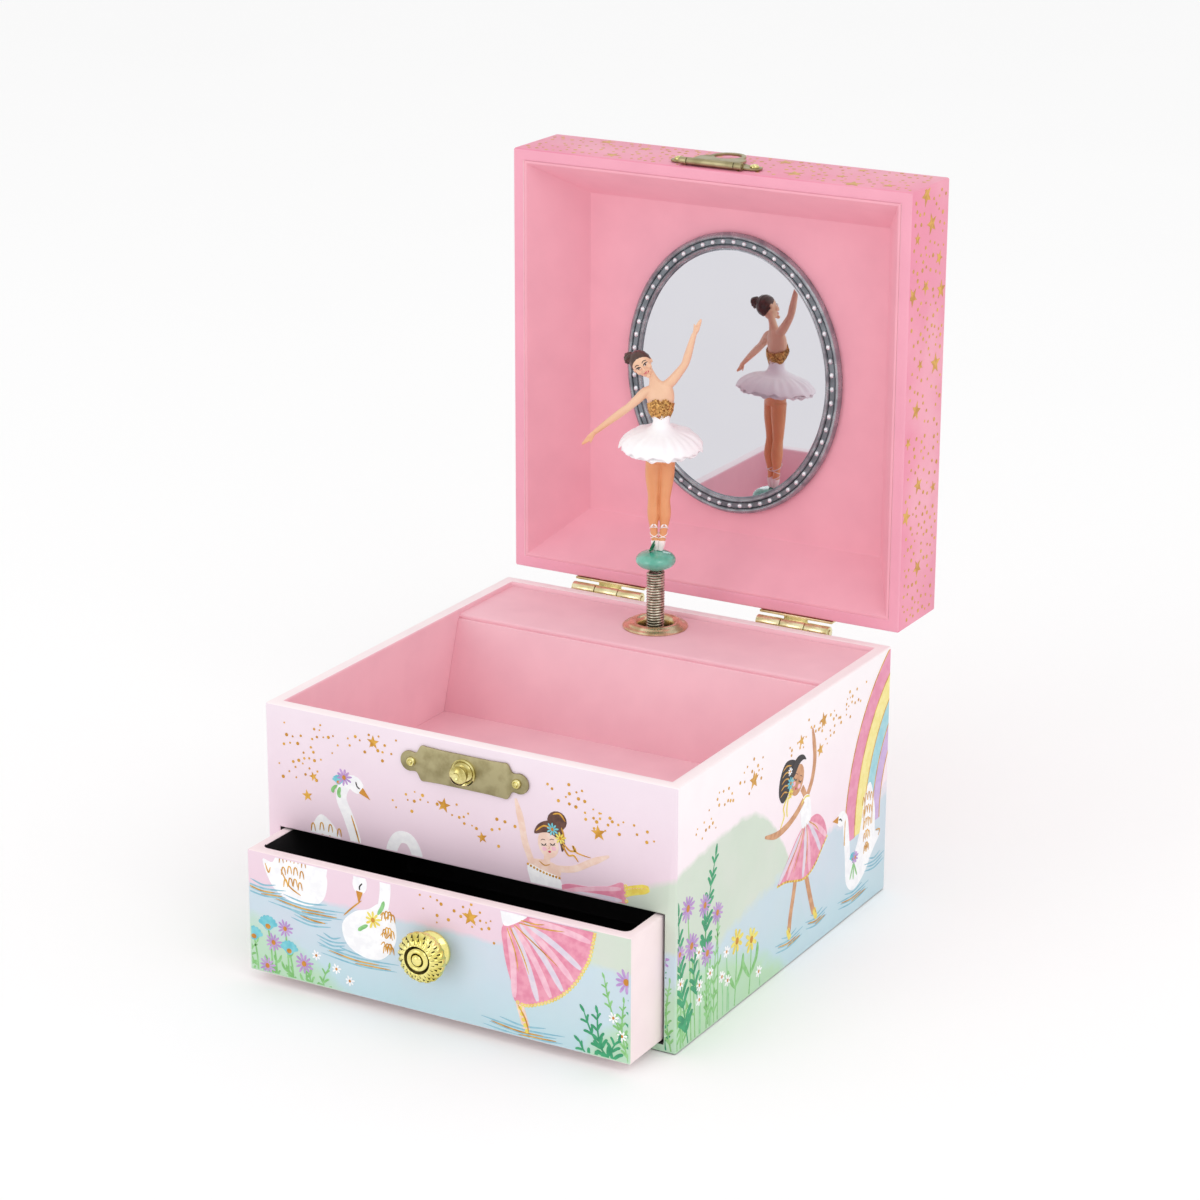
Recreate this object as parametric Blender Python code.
"""Wind-up music box with a folding dancer, a mirror lid and a pull-out drawer.

The box stands open: lid upright, drawer a little way out, dancer up on her spring.
X runs to the right, Y to the back, Z up. The origin is the middle of the underside.
Lengths are in metres. The lid, its clasp and the drawer are drawn where they sit when the
box is shut, and their parent empties carry them to where they stand now.
"""

import math

import bmesh
import bpy
from mathutils import Matrix, Vector

MM = 0.001
GAP = 0.3 * MM  # paper and glue between two fixed pieces

# The box
BOX_WIDTH = 150 * MM
BOX_DEPTH = 150 * MM
BASE_HEIGHT = 88 * MM
BOARD = 4.5 * MM  # side, front and back boards
BOTTOM_BOARD = 3 * MM

# The tray in the top of the base, and the works bay behind it
TRAY_DEPTH = 34 * MM  # from the rim down to the tray floor
TRAY_BOARD = 3 * MM
SHELF_BELOW_RIM = 1.6 * MM
SHELF_BOARD = 2 * MM
SHELF_DEPTH = 35.6 * MM  # from the back board forward to the shelf's front edge
PARTITION_LEAN = 10.7 * MM  # how far the partition leans back over its height
PARTITION_BOARD = 1.5 * MM
DIVIDER_BOARD = 2 * MM

# The lid
LID_HEIGHT = 29.3 * MM
LID_BOARD = 4.1 * MM
LID_TOP_BOARD = 3 * MM
LID_CLEARANCE = 0.4 * MM  # between the lid's rim and the base's rim when shut
LID_OPEN = math.radians(90)
LINING_BEHIND = 2.8 * MM  # between the lining's card and the lid's top panel
LINING_SLOPE = 14 * MM  # how far the lining's sides come in
LINING_CARD = 1 * MM

# The oval mirror in the lid
MIRROR_MARGIN_X = 15.65 * MM  # from the lining's flat floor in to the mirror's frame
MIRROR_MARGIN_Y = 7.4 * MM
MIRROR_FRAME_BAND = 5.2 * MM
MIRROR_FRAME_DEPTH = 2.6 * MM
MIRROR_GLASS_DEPTH = 1.5 * MM

# The hinges behind the box
HINGE_INSET = 38.6 * MM  # from the side of the box to the middle of a hinge
HINGE_LENGTH = 27.5 * MM
HINGE_BARREL_RADIUS = 2.2 * MM
HINGE_PIN_RADIUS = 0.8 * MM
HINGE_BACK = 3.8 * MM  # pin behind the back board
HINGE_DOWN = 0.9 * MM  # pin below the rim
LEAF_LENGTH = 11 * MM
LEAF_SHEET = 0.8 * MM

# The latch on the front
LATCH_WIDTH = 46.6 * MM
LATCH_HEIGHT = 11.6 * MM
LATCH_BELOW_RIM = 9.2 * MM  # rim to the middle of the stud
LATCH_SHEET = 0.6 * MM
STUD_BASE_RADIUS = 4.4 * MM
STUD_LENGTH = 4.2 * MM
CLASP_WIDTH = 34 * MM
CLASP_HEIGHT = 7 * MM
CLASP_PIN_ABOVE_RIM = 2.8 * MM
CLASP_BARREL_RADIUS = 1.25 * MM
CLASP_PIN_RADIUS = 0.5 * MM
TONGUE_WIDTH = 17.4 * MM
TONGUE_SHEET = 0.8 * MM
TONGUE_PAST_STUD = 6.1 * MM
NAIL_HEAD_RADIUS = 1.6 * MM
NAIL_SHANK_RADIUS = 0.5 * MM

# The drawer
DRAWER_OUT = 19.3 * MM
FASCIA_HEIGHT = 42 * MM  # of the front board above the drawer
DRAWER_BEHIND = 5.2 * MM  # between the pushed-in drawer and the works divider
DRAWER_CLEARANCE = 0.6 * MM
DRAWER_FRONT_BOARD = 4 * MM
DRAWER_BOARD = 3.2 * MM
DRAWER_FLOOR = 2 * MM
KNOB_RADIUS = 8.4 * MM
KNOB_LENGTH = 10.5 * MM
KNOB_ABOVE_MIDDLE = 1.8 * MM
KNOB_FLUTES = 14

# The musical movement behind the partition
SPINDLE_X = -5.7 * MM
SPINDLE_FROM_BACK = 13 * MM  # to the back board
SPINDLE_RADIUS = 1.25 * MM
SHAFT_BELOW_SHELF = 30.4 * MM
BEDPLATE = 1 * MM
BARREL_RADIUS = 12 * MM
BARREL_TEETH = 36
BARREL_DEPTH = 6.4 * MM
CROWN_TOOTH = 1 * MM
CROWN_WIDTH = 3 * MM
SPINDLE_PINION_RADIUS = 3.4 * MM
SPINDLE_TEETH = 12
CYLINDER_RADIUS = 6.5 * MM
CYLINDER_LENGTH = 21 * MM
CYLINDER_GEAR_RADIUS = 5.3 * MM
CYLINDER_TEETH = 18
GREAT_WHEEL_RADIUS = 7.8 * MM
GOVERNOR_PINION_RADIUS = 2 * MM
GOVERNOR_WHEEL_RADIUS = 5.2 * MM
FLY_REACH = 4.2 * MM
SHAFT_RADIUS = 2 * MM
SHAFT_CLEARANCE = 0.35 * MM
ARBOR_RADIUS = 1 * MM
COMB_TEETH = 18
COMB_LENGTH = 12.6 * MM
KEY_SPAN = 25 * MM

# The grommet, the spring and the dancer on it
GROMMET_RADIUS = 11.2 * MM
GROMMET_HOLE = 6 * MM
GROMMET_RISE = 2.1 * MM
SPRING_RADIUS = 3.15 * MM
SPRING_BORE = 1.6 * MM
SPRING_BEND = 4.6 * MM  # height above the shelf where the spring starts to fold
FOLD_FORWARD = 6 * MM  # how far in front of the spindle the fold turns
BEAD_HEIGHT = 23.8 * MM  # middle of the bead above the shelf
BEAD_RADIUS = 6.9 * MM
BEAD_HALF_HEIGHT = 3.35 * MM
DANCER_FACING = math.radians(29.6)
TUTU_RADIUS = 14.1 * MM

HALF_WIDTH = BOX_WIDTH / 2
HALF_DEPTH = BOX_DEPTH / 2
INNER_X = HALF_WIDTH - BOARD
INNER_BACK = HALF_DEPTH - BOARD
INNER_FRONT = -HALF_DEPTH + BOARD
TRAY_FLOOR_Z = BASE_HEIGHT - TRAY_DEPTH
SHELF_Z = BASE_HEIGHT - SHELF_BELOW_RIM
SHELF_FRONT = INNER_BACK - SHELF_DEPTH
PARTITION_FOOT = SHELF_FRONT - PARTITION_LEAN
DIVIDER_FRONT = PARTITION_FOOT - DIVIDER_BOARD
BAY_TOP = BASE_HEIGHT - FASCIA_HEIGHT
DRAWER_HEIGHT = BAY_TOP - BOTTOM_BOARD - 2 * DRAWER_CLEARANCE
DRAWER_LENGTH = DIVIDER_FRONT - DRAWER_BEHIND + HALF_DEPTH
LID_RIM_Z = BASE_HEIGHT + LID_CLEARANCE
LID_TOP_Z = LID_RIM_Z + LID_HEIGHT
LINING_DEPTH = LID_HEIGHT - LID_TOP_BOARD - LINING_CARD - LINING_BEHIND
HINGE_X = HALF_WIDTH - HINGE_INSET
HINGE_Y = HALF_DEPTH + HINGE_BACK
HINGE_Z = BASE_HEIGHT - HINGE_DOWN
STUD_Z = BASE_HEIGHT - LATCH_BELOW_RIM
CLASP_Y = -HALF_DEPTH - GAP - LATCH_SHEET - GAP - TONGUE_SHEET / 2
CLASP_Z = LID_RIM_Z + CLASP_PIN_ABOVE_RIM
DRAWER_Z = BOTTOM_BOARD + DRAWER_CLEARANCE
KNOB_Z = DRAWER_Z + DRAWER_HEIGHT / 2 + KNOB_ABOVE_MIDDLE
SPINDLE_Y = INNER_BACK - SPINDLE_FROM_BACK
WORKS_HEIGHT = SHELF_Z - SHAFT_BELOW_SHELF  # height of the winding shaft
CROWN_Y = SPINDLE_Y + SPINDLE_PINION_RADIUS + GAP
CYLINDER_Y = CROWN_Y - GAP - CYLINDER_GEAR_RADIUS
FOLD_Y = SPINDLE_Y - FOLD_FORWARD
FOLD_Z = SHELF_Z + SPRING_BEND
BEAD_Z = SHELF_Z + BEAD_HEIGHT

for old in list(bpy.data.objects):
    bpy.data.objects.remove(old, do_unlink=True)


# ---------------------------------------------------------------- materials
def finish(name, colour, roughness, metallic=0.0):
    """A Principled material in one colour."""
    made = bpy.data.materials.new(name)
    made.use_nodes = True
    shader = made.node_tree.nodes["Principled BSDF"]
    shader.inputs["Base Color"].default_value = (*colour, 1)
    shader.inputs["Roughness"].default_value = roughness
    shader.inputs["Metallic"].default_value = metallic
    return made


PRINTED = finish("printed_paper", (0.80, 0.66, 0.74), 0.45)
PINK = finish("pink_paper", (0.86, 0.42, 0.50), 0.6)
BLACK = finish("black_paper", (0.01, 0.009, 0.01), 0.7)
BRASS = finish("old_brass", (0.55, 0.42, 0.20), 0.35, 1.0)
GOLD = finish("polished_brass", (0.80, 0.58, 0.20), 0.15, 1.0)
STEEL = finish("steel", (0.55, 0.56, 0.58), 0.3, 1.0)
SILVER = finish("silvered_frame", (0.50, 0.52, 0.54), 0.3, 1.0)
MIRROR = finish("mirror_glass", (0.85, 0.86, 0.88), 0.03, 1.0)
JADE = finish("jade_bead", (0.12, 0.50, 0.38), 0.2)
SKIN = finish("painted_skin", (0.82, 0.48, 0.28), 0.45)
NET = finish("white_net", (0.90, 0.89, 0.87), 0.6)


# ---------------------------------------------------------------- joints
def joint(name, drawn, stands=None, turn=(0, 0, 0), parent=None):
    """An empty on a joint's axis. What hangs on it is drawn around the point drawn."""
    made = bpy.data.objects.new(name, None)
    bpy.context.collection.objects.link(made)
    base = Vector(parent["drawn"]) if parent else Vector((0, 0, 0))
    made.location = Vector(stands or drawn) - base
    made.rotation_euler = turn
    made["drawn"] = tuple(drawn)
    made.parent = parent
    return made


lid_hinge = joint("lid_hinge", (0, HINGE_Y, HINGE_Z), turn=(-LID_OPEN, 0, 0))
clasp_hinge = joint("clasp_hinge", (0, CLASP_Y, CLASP_Z), turn=(math.pi, 0, 0), parent=lid_hinge)
drawer_slide = joint(
    "drawer_slide", (0, -HALF_DEPTH, KNOB_Z), stands=(0, -HALF_DEPTH - DRAWER_OUT, KNOB_Z)
)
barrel_axis = joint("barrel_axis", (SPINDLE_X, CROWN_Y, WORKS_HEIGHT))
key_axis = joint("key_axis", (SPINDLE_X, HALF_DEPTH, WORKS_HEIGHT))
cylinder_axis = joint("cylinder_axis", (SPINDLE_X, CYLINDER_Y, WORKS_HEIGHT))
spindle_axis = joint("spindle_axis", (SPINDLE_X, SPINDLE_Y, SHELF_Z))
dancer_tilt = joint("dancer_tilt", (SPINDLE_X, FOLD_Y, FOLD_Z))
dancer_spin = joint(
    "dancer_spin", (SPINDLE_X, SPINDLE_Y, BEAD_Z), turn=(0, 0, DANCER_FACING), parent=dancer_tilt
)


# ---------------------------------------------------------------- shapes
def place(name, bm, material, hang, tool=False):
    """Makes an object of bm, whose points are where the piece is drawn, and hangs it."""
    low = Vector([min(v.co[i] for v in bm.verts) for i in range(3)])
    high = Vector([max(v.co[i] for v in bm.verts) for i in range(3)])
    middle = (low + high) / 2
    if hang:
        middle = Vector(hang["drawn"])
    bmesh.ops.translate(bm, vec=-middle, verts=bm.verts)
    bmesh.ops.recalc_face_normals(bm, faces=bm.faces)
    mesh = bpy.data.meshes.new(name)
    bm.to_mesh(mesh)
    bm.free()
    mesh.shade_smooth()
    mesh.set_sharp_from_angle(angle=math.radians(35))
    if material:
        mesh.materials.append(material)
    made = bpy.data.objects.new(name, mesh)
    bpy.context.collection.objects.link(made)
    made.parent = hang
    made.location = (0, 0, 0) if hang else middle
    if tool:
        made.hide_render = True
        made.display_type = "WIRE"
    return made


def block(name, x, y, z, material=None, hang=None, tool=False):
    """A board between two values along each axis."""
    bm = bmesh.new()
    bmesh.ops.create_cube(bm, size=1)
    size = Vector((x[1] - x[0], y[1] - y[0], z[1] - z[0]))
    middle = Vector((x[0] + x[1], y[0] + y[1], z[0] + z[1])) / 2
    bmesh.ops.scale(bm, vec=size, verts=bm.verts)
    bmesh.ops.translate(bm, vec=middle, verts=bm.verts)
    return place(name, bm, material, hang, tool)


TURNS = {
    "X": Matrix(((0, 0, 1), (1, 0, 0), (0, 1, 0))),
    "Y": Matrix(((0, 1, 0), (0, 0, 1), (1, 0, 0))),
    "Z": Matrix.Identity(3),
}


def turned(name, profile, axis, foot, material=None, hang=None, tool=False, sides=24, oval=1):
    """A lathe-turned solid. Each profile point is (height, radius) or, where the rim is
    toothed, (height, tip radius, root radius). A profile that ends off the axis closes on
    itself as a ring. axis is the way that height runs, and foot is where it is 0."""
    bm = bmesh.new()
    ring_closed = profile[0][1] > 0 and profile[-1][1] > 0
    rings = []
    for point in profile:
        height, tip = point[0], point[1]
        root = point[2] if len(point) > 2 else tip
        if tip == 0:
            rings.append([bm.verts.new((0, 0, height))])
            continue
        ring = []
        for i in range(sides):
            radius = tip if i % 2 == 0 else root
            angle = math.tau * i / sides
            ring.append(
                bm.verts.new((radius * math.cos(angle), oval * radius * math.sin(angle), height))
            )
        rings.append(ring)
    pairs = list(zip(rings, rings[1:]))
    if ring_closed:
        pairs.append((rings[-1], rings[0]))
    for below, above in pairs:
        for i in range(sides):
            j = (i + 1) % sides
            face = [below[i % len(below)], below[j % len(below)]]
            face += [above[j % len(above)], above[i % len(above)]]
            bm.faces.new(list(dict.fromkeys(face)))
    bmesh.ops.rotate(bm, matrix=TURNS[axis], verts=bm.verts)
    bmesh.ops.translate(bm, vec=Vector(foot), verts=bm.verts)
    return place(name, bm, material, hang, tool)


def rod(name, radius, start, end, axis, at, material=None, hang=None, tool=False, sides=12):
    """A round rod along an axis. at holds its two other coordinates."""
    foot = list(at)
    foot.insert("XYZ".index(axis), 0)
    profile = [(start, 0), (start, radius), (end, radius), (end, 0)]
    return turned(name, profile, axis, foot, material, hang, tool, sides)


def sheet(name, outline, axis, start, end, material=None, hang=None, tool=False):
    """A flat outline, drawn in the two other axes, pulled out along an axis."""
    bm = bmesh.new()
    corners = []
    for a, b in outline:
        point = [a, b]
        point.insert("XYZ".index(axis), start)
        corners.append(bm.verts.new(point))
    face = bm.faces.new(corners)
    pulled = bmesh.ops.extrude_face_region(bm, geom=[face])["geom"]
    step = [0, 0, 0]
    step["XYZ".index(axis)] = end - start
    bmesh.ops.translate(
        bm, vec=step, verts=[v for v in pulled if isinstance(v, bmesh.types.BMVert)]
    )
    return place(name, bm, material, hang, tool)


def arc(centre, radius, first, last, steps):
    """Points of a circular arc, in degrees."""
    found = []
    for i in range(steps + 1):
        angle = math.radians(first + (last - first) * i / steps)
        found.append(
            (centre[0] + radius * math.cos(angle), centre[1] + radius * math.sin(angle))
        )
    return found


def change(piece, operation, *tools):
    """Cuts from a piece, or joins to it, with the exact solver."""
    for tool in tools:
        modifier = piece.modifiers.new(tool.name, "BOOLEAN")
        modifier.operation = operation
        modifier.object = tool
    return piece


def cut(piece, *tools):
    return change(piece, "DIFFERENCE", *tools)


def weld(piece, *tools):
    return change(piece, "UNION", *tools)


# ---------------------------------------------------------------- the base's boards
across = (-INNER_X + GAP, INNER_X - GAP)
block("bottom_panel", across, (-HALF_DEPTH, INNER_BACK - GAP), (0, BOTTOM_BOARD), PRINTED)
block("left_side_panel", (-HALF_WIDTH, -INNER_X), (-HALF_DEPTH, HALF_DEPTH), (0, BASE_HEIGHT), PRINTED)
block("right_side_panel", (INNER_X, HALF_WIDTH), (-HALF_DEPTH, HALF_DEPTH), (0, BASE_HEIGHT), PRINTED)
back_panel = block("back_panel", across, (INNER_BACK, HALF_DEPTH), (0, BASE_HEIGHT), PRINTED)
front_panel = block(
    "front_panel", across, (-HALF_DEPTH, INNER_FRONT), (BAY_TOP, BASE_HEIGHT), PRINTED
)
block(
    "tray_floor",
    across,
    (INNER_FRONT + GAP, PARTITION_FOOT + 2 * PARTITION_BOARD),
    (TRAY_FLOOR_Z - TRAY_BOARD, TRAY_FLOOR_Z),
    PINK,
)
block(
    "works_divider",
    across,
    (DIVIDER_FRONT, PARTITION_FOOT),
    (BOTTOM_BOARD + GAP, TRAY_FLOOR_Z - TRAY_BOARD - GAP),
    BLACK,
)
partition_top = SHELF_Z - SHELF_BOARD - GAP
lean = PARTITION_LEAN / (SHELF_Z - TRAY_FLOOR_Z)
top_y = PARTITION_FOOT + lean * (partition_top - TRAY_FLOOR_Z)
foot_z = TRAY_FLOOR_Z + GAP
sheet(
    "slanted_partition",
    [
        (PARTITION_FOOT, foot_z),
        (PARTITION_FOOT + PARTITION_BOARD, foot_z),
        (top_y + PARTITION_BOARD, partition_top),
        (top_y, partition_top),
    ],
    "X",
    across[0],
    across[1],
    PINK,
)
works_shelf = block(
    "works_shelf", across, (SHELF_FRONT, INNER_BACK - GAP), (SHELF_Z - SHELF_BOARD, SHELF_Z), PINK
)
GROMMET_NECK = GROMMET_HOLE + 1 * MM
cut(
    works_shelf,
    rod(
        "grommet_hole",
        GROMMET_NECK + GAP,
        SHELF_Z - 2 * SHELF_BOARD,
        SHELF_Z + SHELF_BOARD,
        "Z",
        (SPINDLE_X, SPINDLE_Y),
        tool=True,
        sides=32,
    ),
)

# ---------------------------------------------------------------- the spindle's grommet
grommet_foot = -SHELF_BOARD - GAP - 0.8 * MM
rim_mid = (GROMMET_RADIUS + GROMMET_HOLE) / 2
turned(
    "spindle_grommet",
    [
        (grommet_foot, GROMMET_HOLE),
        (GROMMET_RISE * 0.6, GROMMET_HOLE),
        (GROMMET_RISE, rim_mid - 1 * MM),
        (GROMMET_RISE, rim_mid + 0.4 * MM),
        (GROMMET_RISE * 0.75, GROMMET_RADIUS - 1 * MM),
        (GAP, GROMMET_RADIUS),
        (GAP, GROMMET_NECK),
        (-SHELF_BOARD - GAP, GROMMET_NECK),
        (-SHELF_BOARD - GAP, GROMMET_NECK + 1.2 * MM),
        (grommet_foot, GROMMET_NECK + 1.2 * MM),
    ],
    "Z",
    (SPINDLE_X, SPINDLE_Y, SHELF_Z),
    BRASS,
    sides=32,
)

# ---------------------------------------------------------------- the latch on the base
half_latch = LATCH_WIDTH / 2
tab = LATCH_HEIGHT * 0.28
latch_shape = []
for side in (1, -1):
    turn = 0 if side > 0 else 180
    end = arc((side * (half_latch - tab), STUD_Z), tab, turn - 90, turn + 90, 6)
    shoulder = side * (half_latch - 2.9 * tab)
    notch = side * (half_latch - 2.1 * tab)
    first = (shoulder, STUD_Z - side * LATCH_HEIGHT / 2)
    last = (shoulder, STUD_Z + side * LATCH_HEIGHT / 2)
    latch_shape += [first, (notch, STUD_Z - side * tab)] + end + [(notch, STUD_Z + side * tab), last]
latch_plate = sheet(
    "latch_plate", latch_shape, "Y", -HALF_DEPTH - GAP - LATCH_SHEET, -HALF_DEPTH - GAP, BRASS
)


def nail(name, x, z, hang=None):
    """A round-headed nail through a plate and into the board behind it, with their holes."""
    face = -HALF_DEPTH - GAP - LATCH_SHEET - GAP
    profile = [
        (4.2 * MM, 0),
        (4.2 * MM, NAIL_SHANK_RADIUS),
        (0, NAIL_SHANK_RADIUS),
        (0, NAIL_HEAD_RADIUS),
        (-0.55 * MM, NAIL_HEAD_RADIUS * 0.8),
        (-0.9 * MM, 0),
    ]
    turned(name, profile, "Y", (x, face, z), BRASS, hang, sides=12)
    reach = (-HALF_DEPTH - 2 * MM, -HALF_DEPTH + 3.8 * MM)
    return rod(name + "_hole", NAIL_SHANK_RADIUS + GAP, *reach, "Y", (x, z), None, hang, True)


latch_holes = [
    nail("latch_nail_left", -half_latch + 1.25 * tab, STUD_Z),
    nail("latch_nail_right", half_latch - 1.25 * tab, STUD_Z),
    rod(
        "stud_hole",
        2 * MM,
        -HALF_DEPTH - 2 * MM,
        -HALF_DEPTH + 3.8 * MM,
        "Y",
        (0, STUD_Z),
        tool=True,
        sides=16,
    ),
]
cut(latch_plate, *latch_holes)
cut(front_panel, *latch_holes)
stud_face = -GAP - LATCH_SHEET - GAP
turned(
    "latch_stud",
    [
        (3.2 * MM, 0),
        (3.2 * MM, 2 * MM - GAP),
        (stud_face, 2 * MM - GAP),
        (stud_face, STUD_BASE_RADIUS),
        (stud_face - 0.5 * MM, STUD_BASE_RADIUS),
        (stud_face - 1.3 * MM, 2.5 * MM),
        (stud_face - STUD_LENGTH * 0.55, 2.4 * MM),
        (stud_face - STUD_LENGTH * 0.7, 3.2 * MM),
        (stud_face - STUD_LENGTH * 0.9, 3 * MM),
        (stud_face - STUD_LENGTH, 1.6 * MM),
        (stud_face - STUD_LENGTH, 0),
    ],
    "Y",
    (0, -HALF_DEPTH, STUD_Z),
    BRASS,
    sides=20,
)

# ---------------------------------------------------------------- the lid's boards
lid_boards = (LID_RIM_Z, LID_TOP_Z - LID_TOP_BOARD - GAP)
lid_inner_x = HALF_WIDTH - LID_BOARD
lid_inner_y = HALF_DEPTH - LID_BOARD
full_x = (-HALF_WIDTH, HALF_WIDTH)
lid_front = block("lid_front_rail", full_x, (-HALF_DEPTH, -lid_inner_y), lid_boards, PINK, lid_hinge)
block("lid_back_rail", full_x, (lid_inner_y, HALF_DEPTH), lid_boards, PINK, lid_hinge)
between = (-lid_inner_y + GAP, lid_inner_y - GAP)
block("lid_left_rail", (-HALF_WIDTH, -lid_inner_x), between, lid_boards, PINK, lid_hinge)
block("lid_right_rail", (lid_inner_x, HALF_WIDTH), between, lid_boards, PINK, lid_hinge)
block(
    "lid_top_panel",
    full_x,
    (-HALF_DEPTH, HALF_DEPTH),
    (LID_TOP_Z - LID_TOP_BOARD, LID_TOP_Z),
    PRINTED,
    lid_hinge,
)


def tapered_card(name, card, material, hang):
    """A four-sided card tray with sloping sides and an open mouth at the lid's rim."""
    mouth_z = LID_RIM_Z + GAP
    floor_z = LID_RIM_Z + LINING_DEPTH
    mouth = (lid_inner_x - GAP, lid_inner_y - GAP)
    floor = (lid_inner_x - LINING_SLOPE, lid_inner_y - LINING_SLOPE)
    bm = bmesh.new()
    rings = []
    for (x, y), z in (
        (floor, floor_z),
        ((mouth[0] - card, mouth[1] - card), mouth_z),
        (mouth, mouth_z),
        ((floor[0] + card, floor[1] + card), floor_z + card),
    ):
        corners = ((-x, -y), (x, -y), (x, y), (-x, y))
        rings.append([bm.verts.new((a, b, z)) for a, b in corners])
    for near, far in zip(rings, rings[1:]):
        for i in range(4):
            j = (i + 1) % 4
            bm.faces.new((near[i], near[j], far[j], far[i]))
    bm.faces.new(rings[0])
    bm.faces.new(rings[-1])
    return place(name, bm, material, hang)


tapered_card("lid_lining", LINING_CARD, PINK, lid_hinge)

# ---------------------------------------------------------------- the mirror
mirror_back = LID_RIM_Z + LINING_DEPTH - GAP
frame_outer = lid_inner_x - LINING_SLOPE - MIRROR_MARGIN_X
tall = (lid_inner_y - LINING_SLOPE - MIRROR_MARGIN_Y) / frame_outer
frame_inner = frame_outer - MIRROR_FRAME_BAND
turned(
    "mirror_frame",
    [
        (0, frame_inner),
        (0, frame_outer),
        (-MIRROR_FRAME_DEPTH * 0.8, frame_outer - 0.3 * MM),
        (-MIRROR_FRAME_DEPTH, frame_outer - 1 * MM),
        (-MIRROR_FRAME_DEPTH * 0.75, frame_outer - 1.6 * MM),
        (-MIRROR_FRAME_DEPTH * 0.75, frame_inner + 1.2 * MM),
        (-MIRROR_FRAME_DEPTH, frame_inner + 0.6 * MM),
        (-MIRROR_FRAME_DEPTH * 0.8, frame_inner),
    ],
    "Z",
    (0, 0, mirror_back),
    SILVER,
    lid_hinge,
    sides=48,
    oval=tall,
)
glass = frame_inner - GAP
turned(
    "mirror_glass",
    [(0, 0), (0, glass), (-MIRROR_GLASS_DEPTH, glass), (-MIRROR_GLASS_DEPTH, 0)],
    "Z",
    (0, 0, mirror_back),
    MIRROR,
    lid_hinge,
    sides=48,
    oval=tall,
)

# ---------------------------------------------------------------- the hinges
knuckle = HINGE_LENGTH / 3
leaf_y = (HALF_DEPTH + GAP, HALF_DEPTH + GAP + LEAF_SHEET)
pin_at = (HINGE_Y, HINGE_Z)


def hinge_leaf(name, x, spans, z, web_z, hang):
    """A leaf on the back of the box, with a knuckle round the pin along each span."""
    half = HINGE_LENGTH / 2
    leaf = block(name, (x - half, x + half), leaf_y, z, BRASS, hang)
    for n, span in enumerate(spans):
        label = f"{name}_{n}"
        start, end = x + span[0] + GAP / 2, x + span[1] - GAP / 2
        tube = rod(label + "_tube", HINGE_BARREL_RADIUS, start, end, "X", pin_at, None, hang, True, 16)
        web_y = (leaf_y[0], HINGE_Y)
        web = block(label + "_web", (start, end), web_y, web_z, None, hang, True)
        weld(leaf, web, tube)
    bore = rod(
        name + "_bore",
        HINGE_PIN_RADIUS + GAP,
        x - half - 1 * MM,
        x + half + 1 * MM,
        "X",
        pin_at,
        None,
        hang,
        True,
    )
    return cut(leaf, bore)


for side, x in (("left", -HINGE_X), ("right", HINGE_X)):
    outer = [(-HINGE_LENGTH / 2, -knuckle / 2), (knuckle / 2, HINGE_LENGTH / 2)]
    low_web = (HINGE_Z - HINGE_BARREL_RADIUS, HINGE_Z - HINGE_PIN_RADIUS - 2 * GAP)
    foot = HINGE_Z - HINGE_BARREL_RADIUS
    hinge_leaf(
        f"{side}_hinge_base_leaf", x, outer, (foot - LEAF_LENGTH + 2 * MM, low_web[1]), low_web, None
    )
    inner = [(-knuckle / 2, knuckle / 2)]
    high_web = (HINGE_Z + HINGE_PIN_RADIUS + 2 * GAP, HINGE_Z + HINGE_BARREL_RADIUS)
    hinge_leaf(
        f"{side}_hinge_lid_leaf",
        x,
        inner,
        (high_web[0], high_web[1] + LEAF_LENGTH - 2 * MM),
        high_web,
        lid_hinge,
    )
    half = HINGE_LENGTH / 2
    rod(f"{side}_hinge_pin", HINGE_PIN_RADIUS, x - half, x + half, "X", pin_at, BRASS, sides=10)

# ---------------------------------------------------------------- the clasp on the lid
half_clasp = CLASP_WIDTH / 2
plate_foot = CLASP_Z + CLASP_BARREL_RADIUS + GAP
plate_top = plate_foot + CLASP_HEIGHT
ear = CLASP_HEIGHT * 0.36
ear_z = plate_foot + ear
clasp_shape = [(-half_clasp + ear, plate_foot), (half_clasp - ear, plate_foot)]
clasp_shape += arc((half_clasp - ear, ear_z), ear, -60, 90, 5)
clasp_shape += [(half_clasp - 2.2 * ear, ear_z + ear), (TONGUE_WIDTH / 2, plate_top)]
clasp_shape += [(-TONGUE_WIDTH / 2, plate_top), (-half_clasp + 2.2 * ear, ear_z + ear)]
clasp_shape += arc((-half_clasp + ear, ear_z), ear, 90, 240, 5)
clasp_plate = sheet(
    "clasp_plate",
    clasp_shape,
    "Y",
    -HALF_DEPTH - GAP - LATCH_SHEET,
    -HALF_DEPTH - GAP,
    BRASS,
    lid_hinge,
)
clasp_at = (CLASP_Y, CLASP_Z)
tongue_half = TONGUE_WIDTH / 2
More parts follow.
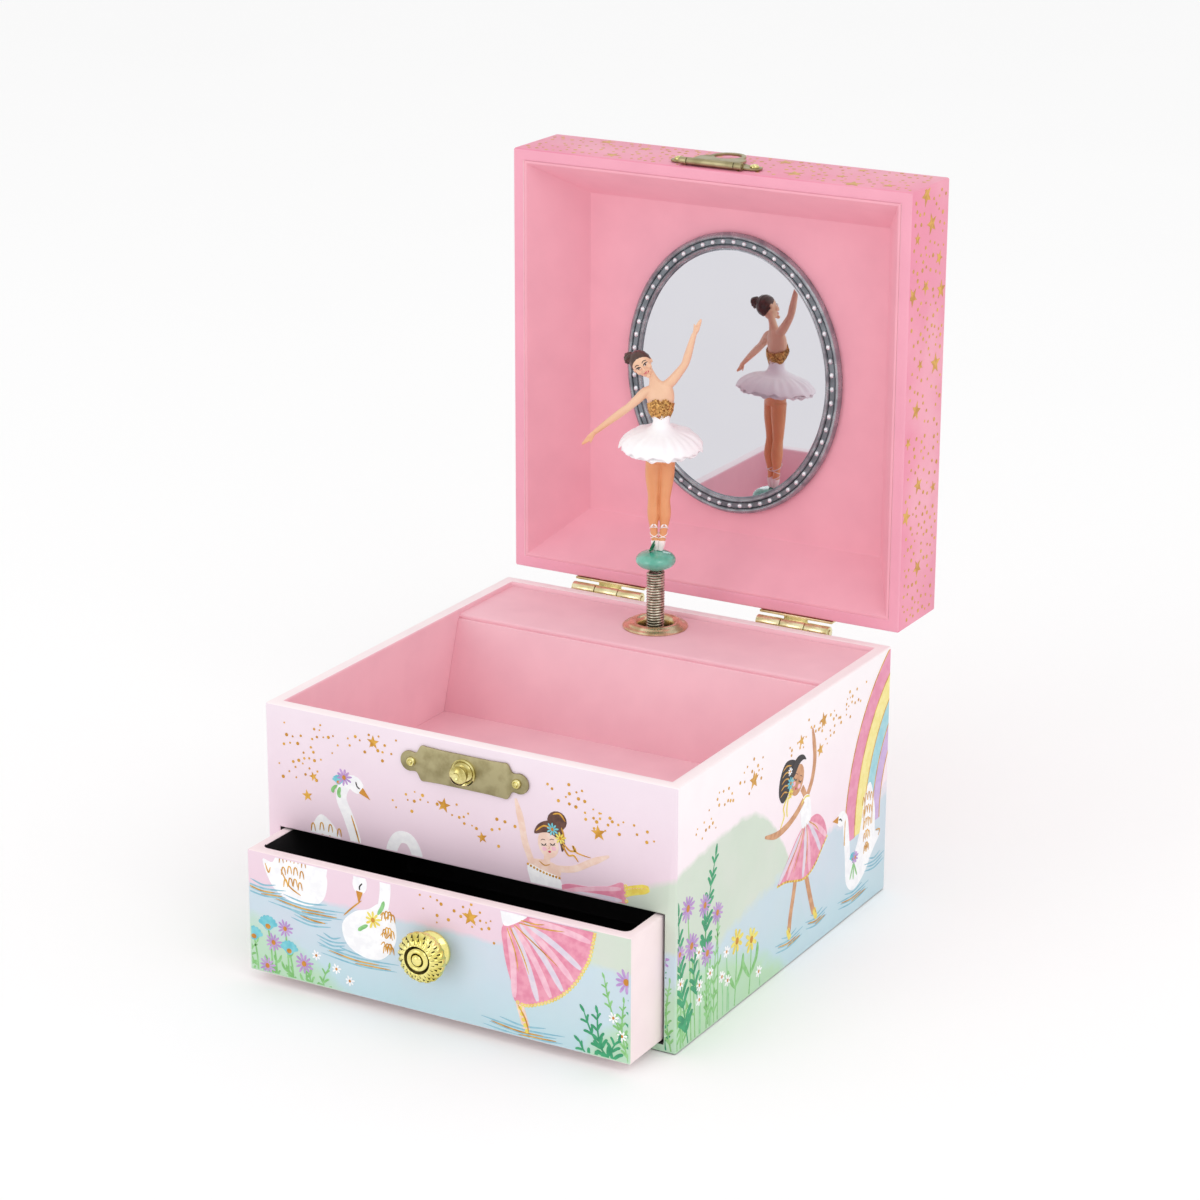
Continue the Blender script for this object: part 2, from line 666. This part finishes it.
# One rolled knuckle of the plate at each end of the pin, outside the tongue
for n, side in enumerate((-1, 1)):
    start = side * (tongue_half + GAP)
    end = side * (tongue_half + 3 * MM)
    span = (min(start, end), max(start, end))
    tube = rod(f"clasp_knuckle_{n}", CLASP_BARREL_RADIUS, *span, "X", clasp_at, None, lid_hinge, True)
    web_y = (-HALF_DEPTH - GAP - LATCH_SHEET, -HALF_DEPTH - GAP)
    web_z = (CLASP_Z, plate_foot + 1 * MM)
    web = block(f"clasp_web_{n}", span, web_y, web_z, None, lid_hinge, True)
    weld(clasp_plate, web, tube)
clasp_reach = (-half_clasp, half_clasp)
clasp_bore = rod(
    "clasp_bore", CLASP_PIN_RADIUS + GAP, *clasp_reach, "X", clasp_at, None, lid_hinge, True, 10
)
clasp_holes = [
    nail("clasp_nail_left", -half_clasp + 1.1 * ear, ear_z, lid_hinge),
    nail("clasp_nail_right", half_clasp - 1.1 * ear, ear_z, lid_hinge),
]
cut(clasp_plate, clasp_bore, *clasp_holes)
cut(lid_front, *clasp_holes)
rod(
    "clasp_pin",
    CLASP_PIN_RADIUS,
    -tongue_half - 3 * MM,
    tongue_half + 3 * MM,
    "X",
    clasp_at,
    BRASS,
    lid_hinge,
    sides=8,
)

# The tongue is drawn hanging down over the stud of a shut box
tip_z = STUD_Z - TONGUE_PAST_STUD
neck = tongue_half * 0.72
tongue_shape = [(-tongue_half, CLASP_Z), (-tongue_half, STUD_Z + 3.4 * MM), (-neck, STUD_Z + 1 * MM)]
tongue_shape += arc((0, STUD_Z), TONGUE_PAST_STUD, 190, 350, 10)
tongue_shape += [(neck, STUD_Z + 1 * MM), (tongue_half, STUD_Z + 3.4 * MM), (tongue_half, CLASP_Z)]
tongue_faces = (CLASP_Y - TONGUE_SHEET / 2, CLASP_Y + TONGUE_SHEET / 2)
tongue = sheet("clasp_tongue", tongue_shape, "Y", *tongue_faces, BRASS, clasp_hinge)
barrel_span = (-tongue_half, tongue_half)
weld(
    tongue,
    rod("tongue_barrel", CLASP_BARREL_RADIUS, *barrel_span, "X", clasp_at, None, clasp_hinge, True),
)
past = 2 * MM
cut(
    tongue,
    rod(
        "tongue_bore",
        CLASP_PIN_RADIUS + GAP,
        -tongue_half - past,
        tongue_half + past,
        "X",
        clasp_at,
        None,
        clasp_hinge,
        True,
        10,
    ),
    rod(
        "tongue_hole",
        STUD_BASE_RADIUS + GAP,
        CLASP_Y - past,
        CLASP_Y + past,
        "Y",
        (0, STUD_Z),
        None,
        clasp_hinge,
        True,
        20,
    ),
)

# ---------------------------------------------------------------- the drawer
drawer_half = INNER_X - DRAWER_CLEARANCE
drawer_top = DRAWER_Z + DRAWER_HEIGHT
front_back = -HALF_DEPTH + DRAWER_FRONT_BOARD
drawer_end = -HALF_DEPTH + DRAWER_LENGTH
drawer_front = block(
    "drawer_front",
    (-drawer_half, drawer_half),
    (-HALF_DEPTH, front_back),
    (DRAWER_Z, drawer_top),
    PRINTED,
    drawer_slide,
)
side_y = (front_back + GAP, drawer_end)
inner_half = drawer_half - DRAWER_BOARD
tall_z = (DRAWER_Z, drawer_top)
block("drawer_left_side", (-drawer_half, -inner_half), side_y, tall_z, PINK, drawer_slide)
block("drawer_right_side", (inner_half, drawer_half), side_y, tall_z, PINK, drawer_slide)
inside_x = (-inner_half + GAP, inner_half - GAP)
block("drawer_back", inside_x, (drawer_end - DRAWER_BOARD, drawer_end), tall_z, PINK, drawer_slide)
block(
    "drawer_bottom",
    inside_x,
    (front_back + GAP, drawer_end - DRAWER_BOARD - GAP),
    (DRAWER_Z, DRAWER_Z + DRAWER_FLOOR),
    BLACK,
    drawer_slide,
)

# The turned knob, its face towards the front, and the screw that holds it
knob_foot = (0, -HALF_DEPTH - GAP, KNOB_Z)
turned(
    "drawer_knob",
    [
        (-7 * MM, 0),
        (-7 * MM, 1.2 * MM),
        (0, 1.2 * MM),
        (0, KNOB_RADIUS * 0.72),
        (-1.4 * MM, KNOB_RADIUS * 0.76),
        (-2.4 * MM, KNOB_RADIUS * 0.5),
        (-KNOB_LENGTH * 0.48, KNOB_RADIUS * 0.55),
        (-KNOB_LENGTH * 0.56, KNOB_RADIUS),
        (-KNOB_LENGTH * 0.72, KNOB_RADIUS, KNOB_RADIUS * 0.95),
        (-KNOB_LENGTH * 0.85, KNOB_RADIUS * 0.88, KNOB_RADIUS * 0.8),
        (-KNOB_LENGTH * 0.93, KNOB_RADIUS * 0.5, KNOB_RADIUS * 0.46),
        (-KNOB_LENGTH * 0.9, KNOB_RADIUS * 0.3),
        (-KNOB_LENGTH, KNOB_RADIUS * 0.12),
        (-KNOB_LENGTH, 0),
    ],
    "Y",
    knob_foot,
    GOLD,
    drawer_slide,
    sides=2 * KNOB_FLUTES,
)
screw_radius = 1.2 * MM - GAP
turned(
    "knob_screw",
    [
        (front_back + GAP + 1.2 * MM, 0),
        (front_back + GAP + 1.2 * MM, 1.8 * MM),
        (front_back + GAP, 2.6 * MM),
        (front_back + GAP, screw_radius),
        (-HALF_DEPTH - 6.5 * MM, screw_radius),
        (-HALF_DEPTH - 6.5 * MM, 0),
    ],
    "Y",
    (0, 0, KNOB_Z),
    STEEL,
    drawer_slide,
    sides=12,
)
cut(
    drawer_front,
    rod(
        "knob_screw_hole",
        1.2 * MM,
        -HALF_DEPTH - past,
        front_back + past,
        "Y",
        (0, KNOB_Z),
        None,
        drawer_slide,
        True,
    ),
)

# ---------------------------------------------------------------- the movement
plate_y = (INNER_BACK - GAP - BEDPLATE, INNER_BACK - GAP)
step_z = (WORKS_HEIGHT - 20 * MM, WORKS_HEIGHT - 13 * MM)
drum_right = SPINDLE_X - BARREL_RADIUS - 3.8 * MM
drum_left = drum_right - CYLINDER_LENGTH
cheek = 1.5 * MM
right_cheek = (drum_right + 2 * GAP, drum_right + 2 * GAP + cheek)
left_cheek = (drum_left - 2 * GAP - cheek, drum_left - 2 * GAP)
great_x = (left_cheek[0] - 2 * GAP - 1.4 * MM, left_cheek[0] - 2 * GAP)
governor_z = WORKS_HEIGHT + GREAT_WHEEL_RADIUS + GOVERNOR_PINION_RADIUS + 2 * GAP
wheel_x = (great_x[0] - 2.6 * MM, great_x[0] - 1.4 * MM)
frame_x = (wheel_x[0] - 3 * MM, wheel_x[0] - 1.8 * MM)
fly_x = (wheel_x[0] + wheel_x[1]) / 2
WORM_RADIUS = 1.2 * MM
fly_z = governor_z + GOVERNOR_WHEEL_RADIUS + GAP + WORM_RADIUS
bearing_front = CYLINDER_Y - 4 * MM

bedplate = block(
    "movement_bedplate",
    (frame_x[0] - 5 * MM, SPINDLE_X + BARREL_RADIUS + 3 * MM),
    plate_y,
    (step_z[0], fly_z + 3 * MM),
    BRASS,
)
reach_back = (bearing_front, plate_y[1])
comb_face = CYLINDER_Y + 1 * MM
spindle_arm_z = (WORKS_HEIGHT + BARREL_RADIUS + 2 * MM, WORKS_HEIGHT + BARREL_RADIUS + 4 * MM)
weld(
    bedplate,
    block("comb_step", (drum_left, drum_right), (comb_face, plate_y[1]), step_z, tool=True),
    block(
        "right_cheek",
        right_cheek,
        reach_back,
        (WORKS_HEIGHT - 3 * MM, WORKS_HEIGHT + 3 * MM),
        tool=True,
    ),
    block(
        "left_cheek",
        left_cheek,
        reach_back,
        (WORKS_HEIGHT - 3 * MM, governor_z + 3 * MM),
        tool=True,
    ),
    block(
        "spindle_arm",
        (SPINDLE_X - 4 * MM, SPINDLE_X + 4 * MM),
        (SPINDLE_Y - 4 * MM, plate_y[1]),
        spindle_arm_z,
        tool=True,
    ),
)
works_span = (frame_x[0] - past, right_cheek[1] + past)
cylinder_at = (CYLINDER_Y, WORKS_HEIGHT)
governor_at = (CYLINDER_Y, governor_z)
arbor_hole = ARBOR_RADIUS + GAP
cylinder_bore = rod("cylinder_bore", arbor_hole, *works_span, "X", cylinder_at, tool=True)
governor_bore = rod("governor_bore", arbor_hole, *works_span, "X", governor_at, tool=True)
through_plate = (plate_y[0] - past, plate_y[1] + past)
fly_bore = rod("fly_bore", arbor_hole, *through_plate, "Y", (fly_x, fly_z), tool=True)
spindle_bore = rod(
    "spindle_bore",
    SPINDLE_RADIUS + SHAFT_CLEARANCE,
    spindle_arm_z[0] - past,
    spindle_arm_z[1] + past,
    "Z",
    (SPINDLE_X, SPINDLE_Y),
    tool=True,
)
shaft_bore = rod(
    "shaft_bore",
    SHAFT_RADIUS + SHAFT_CLEARANCE,
    plate_y[0] - past,
    HALF_DEPTH + past,
    "Y",
    (SPINDLE_X, WORKS_HEIGHT),
    tool=True,
    sides=16,
)
cut(bedplate, cylinder_bore, governor_bore, fly_bore, spindle_bore, shaft_bore)
cut(back_panel, shaft_bore)


def screw(name, x, z, head_y, length, pieces):
    """A cheese-headed screw running back from its head, and its holes in the pieces."""
    radius = 0.9 * MM
    profile = [
        (-1.4 * MM, 0),
        (-1.4 * MM, 2 * MM),
        (0, 2 * MM),
        (0, radius),
        (length, radius),
        (length, 0),
    ]
    turned(name, profile, "Y", (x, head_y, z), STEEL, sides=10)
    span = (head_y - 0.1 * MM, head_y + length + GAP)
    hole = rod(name + "_hole", radius + GAP, *span, "Y", (x, z), tool=True, sides=10)
    for piece in pieces:
        cut(piece, hole)


mount_z = step_z[0] + 4 * MM
for side, x in (("left", frame_x[0] - 1.5 * MM), ("right", SPINDLE_X + BARREL_RADIUS - 1 * MM)):
    screw(f"movement_screw_{side}", x, mount_z, plate_y[0] - GAP, 4.4 * MM, (bedplate, back_panel))

# The steel comb: one slit between each two teeth
comb_y = (comb_face - GAP - 1 * MM, comb_face - GAP)
comb_top = WORKS_HEIGHT - CYLINDER_RADIUS - GAP
comb_foot = step_z[0]
comb_pitch = CYLINDER_LENGTH / COMB_TEETH
slit = comb_pitch * 0.3
slit_foot = comb_top - COMB_LENGTH * 0.5
comb_shape = [(drum_right, comb_foot), (drum_right, comb_top)]
for tooth in range(1, COMB_TEETH):
    x = drum_right - tooth * comb_pitch
    comb_shape += [
        (x + slit / 2, comb_top),
        (x + slit / 2, slit_foot),
        (x - slit / 2, slit_foot),
        (x - slit / 2, comb_top),
    ]
comb_shape += [(drum_left, comb_top), (drum_left, comb_foot)]
comb = sheet("music_comb", comb_shape, "Y", *comb_y, STEEL)
for side, x in (("left", drum_left + 5 * MM), ("right", drum_right - 5 * MM)):
    screw(f"comb_screw_{side}", x, step_z[0] + 3 * MM, comb_y[0] - GAP, 7 * MM, (comb, bedplate))

# The governor's frame: a cheek beside the wheel, and an arm in front of the fly
frame_front = SPINDLE_Y - 11 * MM
arm_depth = 1.2 * MM
bracket = block(
    "governor_bracket",
    frame_x,
    (frame_front, plate_y[0] - GAP),
    (WORKS_HEIGHT, fly_z - FLY_REACH - 1 * MM),
    BRASS,
)
weld(
    bracket,
    block(
        "bracket_post",
        frame_x,
        (frame_front, frame_front + 3 * MM),
        (WORKS_HEIGHT, fly_z + 2 * MM),
        tool=True,
    ),
    block(
        "bracket_arm",
        (frame_x[0], fly_x + 2.4 * MM),
        (frame_front, frame_front + arm_depth),
        (fly_z - 2 * MM, fly_z + 2 * MM),
        tool=True,
    ),
)
arm_bore = rod(
    "arm_bore",
    arbor_hole,
    frame_front - past,
    frame_front + arm_depth + past,
    "Y",
    (fly_x, fly_z),
    tool=True,
)
cut(bracket, governor_bore, arm_bore)

# The spring barrel: crown teeth on its front face drive the cylinder and the spindle
barrel_back = CROWN_Y + CROWN_TOOTH + BARREL_DEPTH
bore = SHAFT_RADIUS + SHAFT_CLEARANCE


def crown_wheel():
    bm = bmesh.new()
    sides = 2 * BARREL_TEETH
    face_y = CROWN_Y + CROWN_TOOTH
    rings = []
    for radius, y in (
        (bore, face_y),
        (BARREL_RADIUS - CROWN_WIDTH, face_y),
        (BARREL_RADIUS, face_y),
        (BARREL_RADIUS, barrel_back),
        (bore, barrel_back),
    ):
        ring = []
        for i in range(sides):
            angle = math.tau * i / sides
            x = SPINDLE_X + radius * math.cos(angle)
            ring.append(bm.verts.new((x, y, WORKS_HEIGHT + radius * math.sin(angle))))
        rings.append(ring)
    teeth = []
    for n, (inner, outer) in enumerate(zip(rings, rings[1:] + rings[:1])):
        for i in range(sides):
            j = (i + 1) % sides
            face = bm.faces.new((inner[i], inner[j], outer[j], outer[i]))
            if n == 1 and i % 2 == 0:
                teeth.append(face)
    raised = bmesh.ops.extrude_discrete_faces(bm, faces=teeth)["faces"]
    tips = [v for face in raised for v in face.verts]
    bmesh.ops.translate(bm, vec=(0, -CROWN_TOOTH, 0), verts=tips)
    return place("spring_barrel", bm, BRASS, barrel_axis)


crown_wheel()

# The pinned cylinder on its arbor, with the great wheel at one end
root = 0.82
end = 0.6 * MM
turned(
    "melody_cylinder",
    [
        (great_x[0] - end, 0),
        (great_x[0] - end, ARBOR_RADIUS),
        (great_x[0], ARBOR_RADIUS),
        (great_x[0], GREAT_WHEEL_RADIUS, GREAT_WHEEL_RADIUS * 0.88),
        (great_x[1], GREAT_WHEEL_RADIUS, GREAT_WHEEL_RADIUS * 0.88),
        (great_x[1], ARBOR_RADIUS),
        (drum_left, ARBOR_RADIUS),
        (drum_left, CYLINDER_RADIUS),
        (drum_right, CYLINDER_RADIUS),
        (drum_right, ARBOR_RADIUS),
        (SPINDLE_X - BARREL_RADIUS, ARBOR_RADIUS),
        (SPINDLE_X - BARREL_RADIUS, CYLINDER_GEAR_RADIUS, CYLINDER_GEAR_RADIUS * root),
        (SPINDLE_X - BARREL_RADIUS + CROWN_WIDTH, CYLINDER_GEAR_RADIUS, CYLINDER_GEAR_RADIUS * root),
        (SPINDLE_X - BARREL_RADIUS + CROWN_WIDTH, 0),
    ],
    "X",
    (0, *cylinder_at),
    BRASS,
    cylinder_axis,
    sides=2 * CYLINDER_TEETH,
)
governor_axis = joint("governor_axis", (fly_x, *governor_at))
turned(
    "governor_gear",
    [
        (frame_x[0], 0),
        (frame_x[0], ARBOR_RADIUS),
        (wheel_x[0], ARBOR_RADIUS),
        (wheel_x[0], GOVERNOR_WHEEL_RADIUS, GOVERNOR_WHEEL_RADIUS * 0.9),
        (wheel_x[1], GOVERNOR_WHEEL_RADIUS, GOVERNOR_WHEEL_RADIUS * 0.9),
        (wheel_x[1], GOVERNOR_PINION_RADIUS, GOVERNOR_PINION_RADIUS * 0.7),
        (great_x[1], GOVERNOR_PINION_RADIUS, GOVERNOR_PINION_RADIUS * 0.7),
        (great_x[1], ARBOR_RADIUS),
        (left_cheek[1] - GAP, ARBOR_RADIUS),
        (left_cheek[1] - GAP, 0),
    ],
    "X",
    (0, *governor_at),
    BRASS,
    governor_axis,
    sides=24,
)
fly_axis = joint("fly_axis", (fly_x, SPINDLE_Y, fly_z))
PIVOT_RADIUS = 0.7 * MM
worm_end = CYLINDER_Y + 3 * MM
fly = turned(
    "governor_fly",
    [
        (frame_front + GAP, 0),
        (frame_front + GAP, PIVOT_RADIUS),
        (CYLINDER_Y - 3 * MM, PIVOT_RADIUS),
        (CYLINDER_Y - 3 * MM, WORM_RADIUS),
        (worm_end, WORM_RADIUS),
        (worm_end, PIVOT_RADIUS),
        (plate_y[1] - GAP, PIVOT_RADIUS),
        (plate_y[1] - GAP, 0),
    ],
    "Y",
    (fly_x, 0, fly_z),
    STEEL,
    fly_axis,
    sides=10,
)
vane = 0.4 * MM
weld(
    fly,
    block(
        "fly_vanes",
        (fly_x - FLY_REACH, fly_x + FLY_REACH),
        (worm_end + 1 * MM, plate_y[0] - 2 * MM),
        (fly_z - vane, fly_z + vane),
        None,
        fly_axis,
        True,
    ),
)

# The winding shaft and its bow-shaped key
rod(
    "winding_shaft",
    SHAFT_RADIUS,
    CROWN_Y + CROWN_TOOTH + GAP,
    HALF_DEPTH + 11 * MM,
    "Y",
    (SPINDLE_X, WORKS_HEIGHT),
    STEEL,
    key_axis,
    sides=16,
)
HUB_RADIUS = 4.2 * MM
hub_start = HALF_DEPTH + 2.4 * MM
hub_end = hub_start + 10 * MM
wing = KEY_SPAN / 2
key = rod(
    "winding_key", HUB_RADIUS, hub_start, hub_end, "Y", (SPINDLE_X, WORKS_HEIGHT), GOLD, key_axis, sides=20
)
wing_radius = wing * 0.46
wing_y = hub_end + 1.5 * MM
bow = arc((SPINDLE_X + wing - wing_radius, wing_y), wing_radius, -110, 130, 10)
bow.append((SPINDLE_X, wing_y + 1.5 * MM))
bow += arc((SPINDLE_X - wing + wing_radius, wing_y), wing_radius, 50, 290, 10)
bow.append((SPINDLE_X, hub_end - 6 * MM))
wings = sheet(
    "key_wings", bow, "Z", WORKS_HEIGHT - 1 * MM, WORKS_HEIGHT + 1 * MM, None, key_axis, True
)
weld(key, wings)
key_bore = (hub_start - past, HALF_DEPTH + 11 * MM + GAP)
cut(
    key,
    rod(
        "key_bore",
        SHAFT_RADIUS + SHAFT_CLEARANCE,
        *key_bore,
        "Y",
        (SPINDLE_X, WORKS_HEIGHT),
        None,
        key_axis,
        True,
        16,
    ),
)

# ---------------------------------------------------------------- spindle, spring and bead
pinion_z = (WORKS_HEIGHT + BARREL_RADIUS - CROWN_WIDTH, WORKS_HEIGHT + BARREL_RADIUS)
spring_split = FOLD_Z - GAP
turned(
    "dancer_spindle",
    [
        (pinion_z[0] - 1 * MM, 0),
        (pinion_z[0] - 1 * MM, SPINDLE_RADIUS),
        (pinion_z[0], SPINDLE_RADIUS),
        (pinion_z[0], SPINDLE_PINION_RADIUS, SPINDLE_PINION_RADIUS * root),
        (pinion_z[1], SPINDLE_PINION_RADIUS, SPINDLE_PINION_RADIUS * root),
        (pinion_z[1], SPINDLE_RADIUS),
        (spring_split - 1 * MM, SPINDLE_RADIUS),
        (spring_split - 1 * MM, 0),
    ],
    "Z",
    (SPINDLE_X, SPINDLE_Y, 0),
    STEEL,
    spindle_axis,
    sides=2 * SPINDLE_TEETH,
)


def coil(name, low, high, turns, hang):
    """A close-wound spring as a ribbed tube, one rib for a turn."""
    outside = []
    for i in range(2 * turns + 1):
        height = low + (high - low) * i / (2 * turns)
        outside.append((height, SPRING_RADIUS if i % 2 == 0 else SPRING_RADIUS - 0.35 * MM))
    profile = [*outside, (high, SPRING_BORE), (low, SPRING_BORE)]
    return turned(name, profile, "Z", (SPINDLE_X, SPINDLE_Y, 0), STEEL, hang, sides=16)


coil("spring_foot", SHELF_Z - SHELF_BOARD - 1 * MM, spring_split, 4, spindle_axis)
coil("dancer_spring", FOLD_Z, BEAD_Z - BEAD_HALF_HEIGHT - GAP, 8, dancer_tilt)
bead_profile = []
for i in range(9):
    angle = math.pi * (i / 8 - 0.5)
    bead_profile.append(
        (BEAD_HALF_HEIGHT * math.sin(angle), 0 if i in (0, 8) else BEAD_RADIUS * math.cos(angle))
    )
turned(
    "spring_bead", bead_profile, "Z", (SPINDLE_X, SPINDLE_Y, BEAD_Z), JADE, dancer_spin, sides=24
)

# ---------------------------------------------------------------- the dancer
toes = BEAD_Z + BEAD_HALF_HEIGHT + GAP


def figure_point(x, z, y=0.0):
    """A point of the dancer: mm to her left or right, above her toes, and behind her."""
    return Vector((SPINDLE_X + x * MM, SPINDLE_Y + y * MM, toes + z * MM))


def limb(name, stations, material=None, tool=True, sides=8):
    """A round limb through stations of (x, z, y, half width, half thickness), in mm."""
    bm = bmesh.new()
    points = [figure_point(x, z, y) for x, z, y, *_ in stations]
    rings = []
    for i, (point, station) in enumerate(zip(points, stations)):
        ahead = points[min(i + 1, len(points) - 1)] - points[max(i - 1, 0)]
        ahead.normalize()
        deep = Vector((0, 1, 0))
        wide = deep.cross(ahead).normalized()
        deep = ahead.cross(wide)
        half_wide, half_deep = station[3] * MM, station[4] * MM
        ring = []
        for k in range(sides):
            angle = math.tau * k / sides
            offset = wide * half_wide * math.cos(angle) + deep * half_deep * math.sin(angle)
            ring.append(bm.verts.new(point + offset))
        rings.append(ring)
    for below, above in zip(rings, rings[1:]):
        for k in range(sides):
            j = (k + 1) % sides
            bm.faces.new((below[k], below[j], above[j], above[k]))
    bm.faces.new(rings[0])
    bm.faces.new(rings[-1])
    return place(name, bm, material, dancer_spin, tool)


def ball(name, x, z, y, size, tilt=0.0):
    """An egg-shaped solid. size is its three half sizes in mm."""
    bm = bmesh.new()
    bmesh.ops.create_uvsphere(bm, u_segments=12, v_segments=8, radius=MM)
    bmesh.ops.scale(bm, vec=size, verts=bm.verts)
    bmesh.ops.rotate(bm, matrix=Matrix.Rotation(tilt, 3, "Y"), verts=bm.verts)
    bmesh.ops.translate(bm, vec=figure_point(x, z, y), verts=bm.verts)
    return place(name, bm, None, dancer_spin, True)


figure = limb(
    "dancer_figure",
    [
        (1.3, 30.0, 0, 4.6, 3.6),
        (1.5, 36.0, 0, 4.2, 3.4),
        (1.4, 41.5, 0, 3.0, 2.6),
        (1.3, 45.5, 0, 2.5, 2.2),
        (1.2, 49.5, -0.1, 3.8, 2.8),
        (1.1, 53.5, -0.3, 4.6, 3.3),
        (0.2, 56.4, 0, 4.4, 2.4),
        (-0.6, 58.3, 0, 2.6, 1.7),
        (-1.4, 60.0, 0, 1.4, 1.4),
        (-2.6, 62.2, 0, 1.3, 1.3),
    ],
    SKIN,
    False,
    12,
)
weld(
    figure,
    limb(
        "left_leg",
        [
            (0.2, 0, 0.3, 0.8, 0.8),
            (-0.2, 2.4, 0.1, 1.2, 1.3),
            (-0.6, 5.0, 0, 1.3, 1.3),
            (-1.0, 12.0, 0.3, 2.1, 2.1),
            (-1.3, 17.6, 0, 2.0, 2.0),
            (-1.2, 25.0, 0, 2.6, 2.6),
            (-0.8, 31.5, 0, 2.9, 2.9),
        ],
    ),
    limb(
        "right_leg",
        [
            (1.4, 0, -0.3, 0.8, 0.8),
            (1.8, 2.4, -0.3, 1.2, 1.3),
            (2.3, 5.0, -0.3, 1.3, 1.3),
            (2.9, 12.0, 0, 2.1, 2.1),
            (3.2, 17.6, -0.3, 2.0, 2.0),
            (3.4, 25.0, 0, 2.6, 2.6),
            (3.4, 31.5, 0, 2.9, 2.9),
        ],
    ),
    limb(
        "raised_arm",
        [
            (1.6, 57.0, 0, 1.5, 1.5),
            (4.4, 58.9, 0, 1.6, 1.6),
            (9.0, 64.4, -0.4, 1.3, 1.3),
            (10.8, 70.0, -0.6, 1.2, 1.2),
            (12.0, 75.2, -0.6, 0.9, 0.8),
            (13.2, 78.0, -0.5, 1.1, 0.7),
            (14.4, 80.4, -0.3, 0.5, 0.4),
        ],
    ),
    limb(
        "lowered_arm",
        [
            (-1.6, 56.0, 0, 1.5, 1.5),
            (-4.2, 54.9, 0, 1.6, 1.6),
            (-9.2, 50.2, -0.4, 1.35, 1.35),
            (-14.2, 46.6, -0.7, 1.3, 1.3),
            (-20.6, 41.6, -0.9, 0.95, 0.85),
            (-23.0, 39.2, -0.9, 1.1, 0.7),
            (-25.2, 36.8, -0.7, 0.5, 0.4),
        ],
    ),
    ball("head", -5.2, 64.8, -0.3, (3.5, 3.8, 4.6), math.radians(-35)),
    ball("hair_bun", -9.4, 66.4, 2.2, (2.0, 2.2, 2.0)),
)

tutu_x = 1.5 * MM
TUTU_HOLE = 5.4 * MM
tutu_drop = 5 * MM
tutu_top = toes + 43 * MM
turned(
    "dancer_tutu",
    [
        (0, TUTU_HOLE),
        (-1 * MM, TUTU_HOLE),
        (-tutu_drop - 1.6 * MM, TUTU_RADIUS * 0.96),
        (-tutu_drop - 1 * MM, TUTU_RADIUS),
        (-tutu_drop, TUTU_RADIUS * 0.985),
        (-tutu_drop * 0.5, TUTU_RADIUS * 0.68),
    ],
    "Z",
    (SPINDLE_X + tutu_x, SPINDLE_Y, tutu_top),
    NET,
    dancer_spin,
    sides=28,
)
